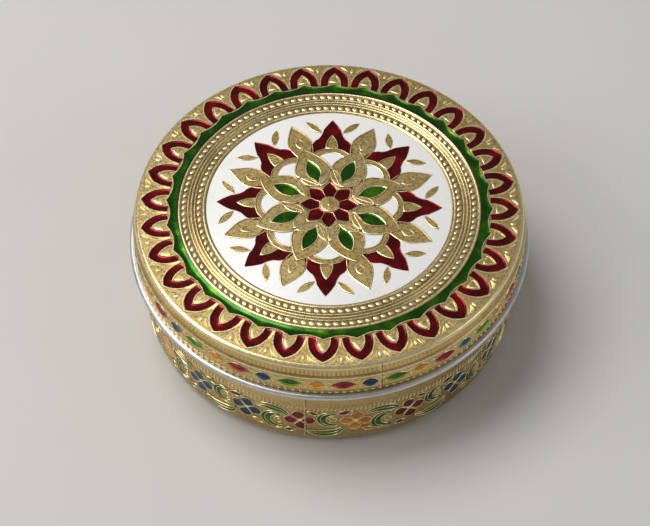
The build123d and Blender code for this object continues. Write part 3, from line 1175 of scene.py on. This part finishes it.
# Half width of the crease, the distance from its top within which it has a painted highlight, and the
# distances between which it has painted shade
crease_half = 1.15 * mm
crease_highlight, crease_shade_from, crease_shade_to = 0.5 * mm, 0.95 * mm, 1.6 * mm
# The ridge over the dots: its height over the wall's foot, half width and rise
foot_ridge_up, foot_ridge_half, foot_ridge_rise = 2.2 * mm, 0.45 * mm, 0.25 * mm
# Faces of the lid's corner higher than this share of its radius over its middle get a painted highlight
corner_highlight_share = 0.25
skirt_steps = 60
skirt_tick = [(0, 1.7 * mm, 0), (0.1 * mm, 0, 0.05 * mm), (0, -1.7 * mm, 0)]
skirt_tick_width, skirt_tick_drop = 0.55 * mm, 4.8 * mm
dot_size, dot_up = (1.6 * mm, 1.2 * mm, 0.9 * mm), 1.0 * mm
pearl_size, pearl_lean = (2.4 * mm, 1.3 * mm, 1.0 * mm), -12
# Up or down from the drops' middle to a pearl or to the curls under it
pearl_up = 1.9 * mm
curl_radius, curl_stretch, curl_width = 1.2 * mm, 1.25, 0.4 * mm
drop_rim, drop_rim_width = 0.25 * mm, 0.5 * mm
# Heights out of the wall of the drops' foot and middle, the pearls and the rims
drop_foot, drop_out, pearl_out, drop_rim_out = -0.2 * mm, 0.1 * mm, 0.1 * mm, 0.05 * mm
drop_hollow = (1.6 * mm, 0.4 * mm)
# How far the lap seam stays off the wall's foot and top
skirt_seam_foot, skirt_seam_head = 0.3 * mm, 1.0 * mm


def drop_angle(sizes, index):
    """Angle of an enamel drop on the lid's wall."""
    return radians(first_drop) + index * tau / sizes.drop_count


def drop_outline(sizes, index, margin=0.0):
    """Outline of an enamel drop: green and red ones are long, amber and blue ones short."""
    long_share, high_share = (0.66, 1.08) if index % 2 else (1, 1)
    long, high = sizes.drop_long * long_share + margin, sizes.drop_high * high_share + margin
    return motif([(-long, 0, high / long / 2), (long, 0, 0)], runs=10)


def skirt_strip(sizes, top, low):
    """Foil of the lid's wall, from over its rounded corner to its foot."""
    corner = sizes.lid_corner
    corner_z = top - corner
    crease = top - sizes.crease_drop
    profile = round_bend(lid_wall_radius(corner_z) - corner, corner_z, corner, 78, 4, 8)
    for index in range(skirt_steps + 1):
        height = corner_z - (corner_z - low) * index / skirt_steps
        rise = ridge(height - crease, crease_half, sizes.crease_rise)
        rise += ridge(height - low - foot_ridge_up, foot_ridge_half, foot_ridge_rise)
        profile.append((lid_wall_radius(height) + rise, height))
    profile.append((lid_wall_radius(low) - sizes.foil, low))
    skirt = turned(profile)
    # Painted highlight on the crease's top and the upper part of the rounded corner, and painted shade beside
    # the crease
    for face in skirt.faces:
        height = face.calc_center_median().z
        off = abs(height - crease)
        bright = off < crease_highlight or height > corner_z + corner_highlight_share * corner
        face.material_index = crest_highlight if bright else groove_shade if crease_shade_from < off < crease_shade_to else plain
    return skirt


def skirt_dots(sizes, low):
    """Row of small beads along the wall's foot."""
    dots = blank_mesh()
    add_pearl(dots, (0, 0, pearl_out), dot_size)
    return copies_round(wrapped(dots, 0, low + dot_up, lid_wall_radius), sizes.dot_count)


def skirt_beads(sizes, middle):
    """Between every two drops, a slanted pearl over two curls."""
    beads = blank_mesh()
    add_pearl(beads, (0, pearl_up, 0), pearl_size, radians(pearl_lean))
    for hand in (-1, 1):
        curl = round_bend(0, -pearl_up, curl_radius, 40, 215, 7, stretch=hand * curl_stretch)
        add_line(beads, lifted(curl, 0), curl_width, sides=0)
    wrapped(beads, drop_angle(sizes, 0.5), middle, lid_wall_radius)
    return copies_round(beads, sizes.drop_count)


def skirt_rims(sizes, middle):
    """Raised gold line round every drop."""
    rims = blank_mesh()
    for index in range(4):
        rim = blank_mesh()
        path = lifted(drop_outline(sizes, index, drop_rim), drop_rim_out)
        add_line(rim, path, drop_rim_width, closed=True, sides=0)
        wrapped(rim, drop_angle(sizes, index), middle, lid_wall_radius)
        rims = joined(rims, copies_round(rim, sizes.drop_count // 4))
    return rims


class BuildSkirtFoil(bpy.types.Operator):
    """Foil round the lid's wall, with its crease, ticks, beads, dots and lap seam"""

    bl_idname = "sweet_box.skirt_foil"
    bl_label = "Skirt Foil"

    def execute(self, context):
        sizes = context.scene.wall_sizes
        top, low = context.scene.lid_top_sizes.ground_height, skirt_low.z
        middle = top - sizes.drop_drop
        add_gold("skirt_foil", skirt_strip(sizes, top, low), "lid", ["lid_skirt_foil"])

        tick_place = (0, top - skirt_tick_drop, lid_wall_radius, sizes.tick_count)
        ticks = strokes_round(skirt_tick, skirt_tick_width, *tick_place)
        pale = [skirt_dots(sizes, low), skirt_beads(sizes, middle), skirt_rims(sizes, middle)]
        # The dots, beads and rims are all pale gold, a painted highlight
        for mesh in pale:
            paint(mesh.faces, crest_highlight)
        seam = lap_seam(skirt_seam, low + skirt_seam_foot, top - skirt_seam_head, lid_wall_radius)
        add_gold("skirt_relief", joined(ticks, *pale, seam), "lid")
        return {"FINISHED"}


class BuildDrops(bpy.types.Operator):
    """Enamel drops round the lid's wall, in a repeating run of four colours"""

    bl_idname = "sweet_box.drops"
    bl_label = "Enamel Drops"

    def execute(self, context):
        sizes = context.scene.wall_sizes
        middle = context.scene.lid_top_sizes.ground_height - sizes.drop_drop
        for index, shade in enumerate(["green", "amber", "red", "blue"]):
            drop = blank_mesh()
            raised(drop, [drop_outline(sizes, index)], drop_foot, drop_out, dished(*drop_hollow))
            wrapped(drop, drop_angle(sizes, index), middle, lid_wall_radius)
            copies_round(drop, sizes.drop_count // 4)
            add_wall_enamel(f"skirt_{shade}_drops", drop, "lid", shade, f"skirt_{shade}_enamel")
        return {"FINISHED"}


# Pan

# Fine strokes over the vine and under it, as (across, up, out) points
wall_tick = [(-0.3 * mm, -1.9 * mm, 0.1 * mm), (0.25 * mm, -0.4 * mm, 0.15 * mm), (0, 1.5 * mm, 0.1 * mm)]
wall_tick_width, wall_tick_drop = 0.6 * mm, 0.4 * mm
foot_tick = [(0.2 * mm, -1.3 * mm, 0), (-0.1 * mm, 1.2 * mm, 0)]
foot_tick_width, foot_tick_up, foot_tick_turn = 0.45 * mm, 1.4 * mm, 0.004
# The wall foil's distance from the tin, and the chamfer of its lower edge
foil_gap, foil_chamfer, foil_chamfer_up = 0.05 * mm, 0.1 * mm, 0.2 * mm
gold_corner_rise = 1 * mm
wall_seam_foot, wall_seam_head = 0.5 * mm, 1 * mm


def pan_shell(sizes):
    """Tin pan, open above, whose rounded lower corner has the second material."""
    radius, top, sheet, corner = pan_high.x, pan_high.z, sizes.sheet, sizes.pan_corner
    profile = [(0, 0)] + round_bend(radius - corner, corner, corner, -90, 0, 10)
    profile += [(radius, top), (radius - sheet, top)]
    profile += round_bend(radius - corner, corner, corner - sheet, 0, -90, 8) + [(0, sheet)]
    pan = turned(profile)
    for face in pan.faces:
        middle = face.calc_center_median()
        outside = middle.x * face.normal.x + middle.y * face.normal.y > 0
        near_corner = hypot(middle.x, middle.y) > radius - corner and middle.z < corner + gold_corner_rise
        face.material_index = 1 if outside and near_corner else 0
    return pan


class BuildPan(bpy.types.Operator):
    """Tin pan with its gold lower corner, and the foil strip round its wall"""

    bl_idname = "sweet_box.pan"
    bl_label = "Pan"

    def execute(self, context):
        sizes = context.scene.wall_sizes
        materials = [kept_material("bright_tin", bright_tin), foil_materials()[plain]]
        add_piece("pan_tin", pan_shell(sizes), materials, "box", ["body_shell"])

        low, high, face = wall_foil_low.z, wall_foil_high.z, wall_foil_high.x
        back = pan_high.x + foil_gap
        profile = [(back, low), (face - foil_chamfer, low), (face, low + foil_chamfer_up), (face, high)]
        add_gold("wall_foil", turned(profile + [(back, high)]), "box", ["body_wall_foil"])

        tick_place = (0, sizes.vine_high - wall_tick_drop, pan_wall_radius, sizes.tick_count)
        ticks = strokes_round(wall_tick, wall_tick_width, *tick_place)
        # The upper ticks are pale gold, a painted highlight
        paint(ticks.faces, crest_highlight)
        foot_place = (foot_tick_turn, sizes.vine_low + foot_tick_up, pan_wall_radius, sizes.tick_count)
        feet = strokes_round(foot_tick, foot_tick_width, *foot_place)
        seam = lap_seam(wall_seam, low + wall_seam_foot, high - wall_seam_head, pan_wall_radius)
        add_gold("wall_foil_ticks", joined(ticks, feet, seam), "box")
        return {"FINISHED"}


# Vine

# The vine between two flowers and the next two, as shares of the distance from flower to flower
# across, and of the vine's height up: curls as (across, up, radius), stems as points, and small
# lenses as (across, up, half length, lean in degrees).
scroll_shares = [(0.535, 0.58, 0.235), (1.53, 0.35, 0.255)]
stem_shares = [
    [(0.12, 0.13), (0.30, 0.06), (0.52, 0.07), (0.68, 0.14), (0.76, 0.27)],
    [(1.20, 0.73), (1.34, 0.80), (1.54, 0.79), (1.70, 0.73), (1.80, 0.60)],
]
lens_shares = [
    ("red", 0.80, 0.83, 0.14, 14),
    ("green", 0.24, 0.80, 0.11, 160),
    ("amber", 1.22, 0.14, 0.11, -20),
    ("blue", 1.82, 0.10, 0.11, 12),
]
flower_petal_shares = [(0.10, 0, 0.04), (0.55, 0.42, 0.20), (1.0, 0, 0)]
flower_colours = "red amber red blue blue amber red blue amber blue blue".split() * 2
flower_lean = 8
flower_pearl = (2.6 * mm, 2.6 * mm, 1.0 * mm)
# Heights out of the wall: the enamel's foot and middle, narrow fills and veins, lines and spirals
fill_foot, fill_out, narrow_out, line_out, spiral_out = -0.1 * mm, 0.1 * mm, 0.2 * mm, 0.14 * mm, 0.05 * mm
vein_gauge = 0.7
vine_hollow = (1.0 * mm, 0.25 * mm)
narrow_edge = [(0.2 * mm, -0.1 * mm)]
path_runs = 5


def on_curve(t, a, b, c, d):
    """Value a share t of the way from b to c, on a smooth curve that comes from a and goes on to d."""
    return 0.5 * (2 * b + (c - a) * t + (2 * a - 5 * b + 4 * c - d) * t * t + (3 * b - a - 3 * c + d) * t**3)


def smooth_path(points):
    """Points of a smooth curve through the given points."""
    path = []
    ends = [points[0], *points, points[-1]]
    for corners in zip(ends, ends[1:], ends[2:], ends[3:]):
        for index in range(path_runs):
            path.append(tuple(on_curve(index / path_runs, *values) for values in zip(*corners)))
    return path + [points[-1]]


def vine_place(sizes, across, up):
    """Point of the vine on the flat, from its shares."""
    pitch = tau * wall_foil_high.x / sizes.flower_count
    return (across * pitch, (up - 0.5) * (sizes.vine_high - sizes.vine_low))


def stem_sides(path, half):
    """Both sides of a stem that runs along a path and narrows to its ends."""
    sides = ([], [])
    last = len(path) - 1
    for index, (x, y) in enumerate(path):
        (ax, ay), (bx, by) = path[max(index - 1, 0)], path[min(index + 1, last)]
        reach = half * (0.25 + 0.75 * sin(pi * index / last)) / hypot(bx - ax, by - ay)
        for side, hand in zip(sides, (1, -1)):
            side.append((x - hand * reach * (by - ay), y + hand * reach * (bx - ax)))
    return sides


def outlined(fill, gold, outline, high, edge, width, sides=1):
    """Adds an enamel fill and the gold line round it."""
    raised(fill, [outline], fill_foot, high, edge)
    add_line(gold, lifted(outline, line_out), width, closed=True, sides=sides)


def add_curl(fill, gold, x, y, radius, width):
    """Adds a curl: a crescent that opens to the right, with a vein in it and a spiral inside."""
    outer = round_bend(x, y, radius, 62, 305, 14)
    inner = round_bend(x + 0.30 * radius, y + 0.02 * radius, 0.58 * radius, 290, 74, 12)
    outlined(fill, gold, outer + inner, fill_out, dished(*vine_hollow), width)
    spiral = round_bend(x + 0.32 * radius, y, 0.42 * radius, 80, 542, 21, last_radius=0.063 * radius)
    add_line(gold, lifted(spiral, spiral_out), width)
    vein = round_bend(x + 0.1 * radius, y + 0.01 * radius, 0.82 * radius, 82, 286, 12)
    add_line(gold, lifted(vein, narrow_out), width * vein_gauge)


def add_stem(fill, gold, path, half, width):
    """Adds a stem along a path, with a gold line on each side and a vein."""
    above, below = stem_sides(path, half)
    raised(fill, [above + below[::-1]], fill_foot, narrow_out, narrow_edge)
    for line in (above, below):
        add_line(gold, lifted(line, line_out), width)
    add_line(gold, lifted(path, narrow_out), width * vein_gauge)


def vine_flower(sizes, index):
    """Enamel and gold outlines of a four-petalled flower, on the wall at its place."""
    fill, gold = blank_mesh(), blank_mesh()
    for quarter in range(4):
        turn = quarter * pi / 2 + radians(flower_lean * (-1) ** index)
        petal = placed(motif(flower_petal_shares, sizes.petal, 5), turn=turn)
        outlined(fill, gold, petal, fill_out, dished(*vine_hollow), sizes.line_width, sides=0)
    add_pearl(gold, (0, 0, fill_out), flower_pearl)
    way = radians(first_flower) + index * tau / sizes.flower_count
    middle = (sizes.vine_high + sizes.vine_low) / 2
    return [wrapped(mesh, way, middle, pan_wall_radius) for mesh in (fill, gold)]


class BuildVine(bpy.types.Operator):
    """Vine round the pan's wall: stems, curls, flowers and leaves, with their gold outlines"""

    bl_idname = "sweet_box.vine"
    bl_label = "Vine"

    def execute(self, context):
        sizes = context.scene.wall_sizes
        middle = (sizes.vine_high + sizes.vine_low) / 2
        pitch, width = vine_place(sizes, 1, 0.5)[0], sizes.line_width
        fills = {shade: blank_mesh() for shade in ("green", "red", "blue", "amber")}
        gold = blank_mesh()
        for across, up, share in scroll_shares:
            add_curl(fills["green"], gold, *vine_place(sizes, across, up), share * pitch, width)
        for shares in stem_shares:
            path = smooth_path([vine_place(sizes, *share) for share in shares])
            add_stem(fills["green"], gold, path, sizes.stem / 2, width)
        for shade, across, up, share, lean in lens_shares:
            lens = motif([(-share * pitch, 0, 0.24), (share * pitch, 0, 0)])
            outline = placed(lens, *vine_place(sizes, across, up), radians(lean))
            outlined(fills[shade], gold, outline, narrow_out, narrow_edge, width)
        for mesh in (*fills.values(), gold):
            wrapped(mesh, radians(first_flower), middle, pan_wall_radius)
            copies_round(mesh, sizes.flower_count // 2)
        for index in range(sizes.flower_count):
            shade = flower_colours[index % len(flower_colours)]
            flower, outlines = vine_flower(sizes, index)
            fills[shade] = joined(fills[shade], flower)
            gold = joined(gold, outlines)
        for shade, mesh in fills.items():
            add_wall_enamel(f"vine_{shade}", mesh, "box", shade, f"vine_{shade}_enamel")
        # The vine's gold lines and pearls are all pale gold, a painted highlight
        add_gold("vine_lines", gold, "box", first=crest_highlight)
        return {"FINISHED"}


# Stage

# Lamps as (name, azimuth and elevation in degrees, distance, size, power, colour)
lamps = [
    ("key_lamp", 150, 64, 2.2, 1.35, 28.2, (1.0, 0.98, 0.95)),
    ("left_lamp", -166, 38, 2.2, 1.4, 14.6, (1.0, 0.98, 0.95)),
    ("right_lamp", -14, 24, 1.5, 0.7, 1.5, (1.0, 0.98, 0.96)),
]
world_colour, world_strength = (0.83, 0.82, 0.80), 0.32
floor_half_width = 3.0

# Camera, worked out from the lid's rings and the base in the photograph. Pixels are of the 650
# pixel wide image, and the middle of the lid's top shows at lid_centre_pixel.
image_width, image_height = 650, 526
focal_pixels = 1676.5
lid_centre_pixel = (329.2, 204.56)
camera_azimuth, camera_elevation, camera_distance = -88.18, 51.09, 0.8255
camera_roll = 0.10
sensor_width = 36.0


def offset_from_lid(azimuth, elevation, distance):
    """Step from the middle of the lid's top in a direction given in degrees."""
    way, rise = radians(azimuth), radians(elevation)
    return Vector((cos(way) * cos(rise), sin(way) * cos(rise), sin(rise))) * distance


def add_floor():
    """Plain pale floor."""
    mesh = bmesh.new()
    bmesh.ops.create_grid(mesh, x_segments=1, y_segments=1, size=floor_half_width)
    data = bpy.data.meshes.new("floor")
    mesh.to_mesh(data)
    mesh.free()
    material, tree, surface, place = new_material("pale_floor", {"Roughness": 0.7})
    pale = user_shade("floor")
    tint = ramp(tree, noise(tree, place, 9), [(0.3, blended(pale, white_shade, 0.05)), (0.7, pale)])
    tree.links.new(tint, surface.inputs["Base Color"])
    data.materials.append(material)
    linked_object("floor", data)


def add_lamp(name, azimuth, elevation, distance, size, power, tint):
    """Round lamp that faces the middle of the lid's top."""
    light = bpy.data.lights.new(name, "AREA")
    light.shape = "DISK"
    light.size = size
    light.energy = power
    light.color = tint
    lamp = linked_object(name, light)
    offset = offset_from_lid(azimuth, elevation, distance)
    lamp.location = lid_middle + offset
    lamp.rotation_euler = (-offset).to_track_quat("-Z", "Y").to_euler()


def add_camera():
    """Camera at the photograph's angle, turned so that the lid's middle shows where it does there."""
    offset = offset_from_lid(camera_azimuth, camera_elevation, camera_distance)
    right_turn = atan2(lid_centre_pixel[0] - image_width / 2, focal_pixels)
    up_turn = atan2(image_height / 2 - lid_centre_pixel[1], focal_pixels)
    aim = (-offset).to_track_quat("-Z", "Y").to_matrix()
    aim = aim @ Matrix.Rotation(right_turn, 3, "Y") @ Matrix.Rotation(-up_turn, 3, "X")
    aim = aim @ Matrix.Rotation(radians(camera_roll), 3, "Z")
    data = bpy.data.cameras.new("camera")
    data.sensor_width = sensor_width
    data.lens = focal_pixels / image_width * sensor_width
    data.clip_start, data.clip_end = 0.01, 20
    camera = linked_object("camera", data)
    camera.location = lid_middle + offset
    camera.rotation_euler = aim.to_euler()
    return camera


class BuildStage(bpy.types.Operator):
    """Floor, lamps and the camera at the photograph's angle"""

    bl_idname = "sweet_box.stage"
    bl_label = "Stage"

    def execute(self, context):
        add_floor()
        world = bpy.data.worlds.new("studio")
        world.use_nodes = True
        background = world.node_tree.nodes["Background"]
        background.inputs["Color"].default_value = (*world_colour, 1)
        background.inputs["Strength"].default_value = world_strength
        context.scene.world = world
        for lamp in lamps:
            add_lamp(*lamp)
        bpy.context.scene.camera = add_camera()
        bpy.context.scene.view_settings.view_transform = "Standard"
        return {"FINISHED"}


operators = [
    BuildTopGround,
    BuildMandala,
    BuildArches,
    BuildTopEnamel,
    BuildLidShell,
    BuildSkirtFoil,
    BuildDrops,
    BuildPan,
    BuildVine,
    BuildStage,
]


class SweetBoxPanel(bpy.types.Panel):
    """Sidebar panel that lists the operators, and the sizes and colours that they use"""

    bl_idname = "VIEW3D_PT_sweet_box"
    bl_label = "Sweet Box"
    bl_space_type = "VIEW_3D"
    bl_region_type = "UI"
    bl_category = "Sweet Box"

    def draw(self, context):
        for operator in operators:
            self.layout.operator(operator.bl_idname)
        scene = context.scene
        for group in (scene.lid_top_sizes, scene.wall_sizes, scene.sweet_box_colours):
            for name in group.__annotations__:
                self.layout.prop(group, name)


classes = [LidTopSizes, WallSizes, Colours, *operators, SweetBoxPanel]


def register():
    for item in classes:
        bpy.utils.register_class(item)
    bpy.types.Scene.lid_top_sizes = PointerProperty(type=LidTopSizes)
    bpy.types.Scene.wall_sizes = PointerProperty(type=WallSizes)
    bpy.types.Scene.sweet_box_colours = PointerProperty(type=Colours)


def unregister():
    del bpy.types.Scene.sweet_box_colours
    del bpy.types.Scene.wall_sizes
    del bpy.types.Scene.lid_top_sizes
    for item in reversed(classes):
        bpy.utils.unregister_class(item)


def main():
    register()
    for operator in operators:
        group, name = operator.bl_idname.split(".")
        getattr(getattr(bpy.ops, group), name)()


if __name__ == "__main__":
    main()
